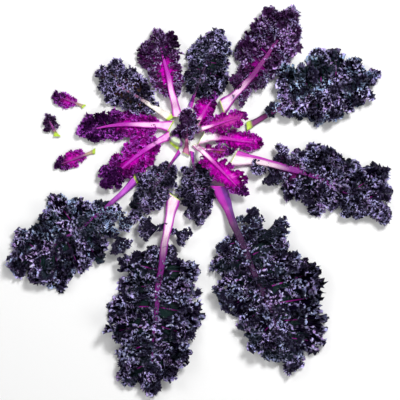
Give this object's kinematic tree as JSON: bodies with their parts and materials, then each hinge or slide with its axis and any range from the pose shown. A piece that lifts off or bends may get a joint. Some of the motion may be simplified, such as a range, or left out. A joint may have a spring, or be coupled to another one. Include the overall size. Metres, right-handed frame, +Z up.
{
  "type": "purple kale bunch",
  "caption": "Curly purple kale bunch laid out in a rosette on a surface: lobed, crimped dark leaves with stalks and midribs that radiate from small magenta inner leaves.",
  "frame": {"origin": "middle of the laid-out bunch, on the surface it lies on", "axes": "+Z up from the surface, +Y towards the top of the picture, +X towards its right"},
  "size_m": [0.509, 0.5035, 0.0306],
  "materials": {
    "stalk": "satin plant skin",
    "dark_blade": "waxy leaf",
    "plum_blade": "waxy leaf",
    "magenta_blade": "waxy leaf"
  },
  "bodies": {
    "root": {"outer_left_stalk": "stalk", "outer_left_blade": "dark_blade", "outer_bottom_stalk": "stalk", "outer_bottom_blade": "dark_blade", "outer_bottom_right_stalk": "stalk", "outer_bottom_right_blade": "dark_blade", "outer_right_stalk": "stalk", "outer_right_blade": "dark_blade", "outer_upper_right_stalk": "stalk", "outer_upper_right_blade": "dark_blade", "outer_top_stalk": "stalk", "outer_top_blade": "plum_blade", "upper_dark_stalk": "stalk", "upper_dark_blade": "dark_blade", "upper_purple_stalk": "stalk", "upper_purple_blade": "plum_blade", "upper_left_stalk": "stalk", "upper_left_blade": "dark_blade", "left_magenta_stalk": "stalk", "left_magenta_blade": "magenta_blade", "left_low_magenta_stalk": "stalk", "left_low_magenta_blade": "magenta_blade", "low_left_dark_stalk": "stalk", "low_left_dark_blade": "dark_blade", "low_dark_stalk": "stalk", "low_dark_blade": "dark_blade", "heart_top_stalk": "stalk", "heart_top_blade": "plum_blade", "inner_top_stalk": "stalk", "inner_top_blade": "magenta_blade", "inner_right_high_stalk": "stalk", "inner_right_high_blade": "magenta_blade", "inner_right_stalk": "stalk", "inner_right_blade": "magenta_blade", "inner_right_small_stalk": "stalk", "inner_right_small_blade": "magenta_blade", "inner_low_right_stalk": "stalk", "inner_low_right_blade": "magenta_blade", "heart_bud_stalk": "stalk", "heart_bud_blade": "plum_blade", "loose_upper_stalk": "stalk", "loose_upper_blade": "magenta_blade", "loose_middle_stalk": "stalk", "loose_middle_blade": "plum_blade", "loose_lower_stalk": "stalk", "loose_lower_blade": "magenta_blade"}
  },
  "joints": []
}
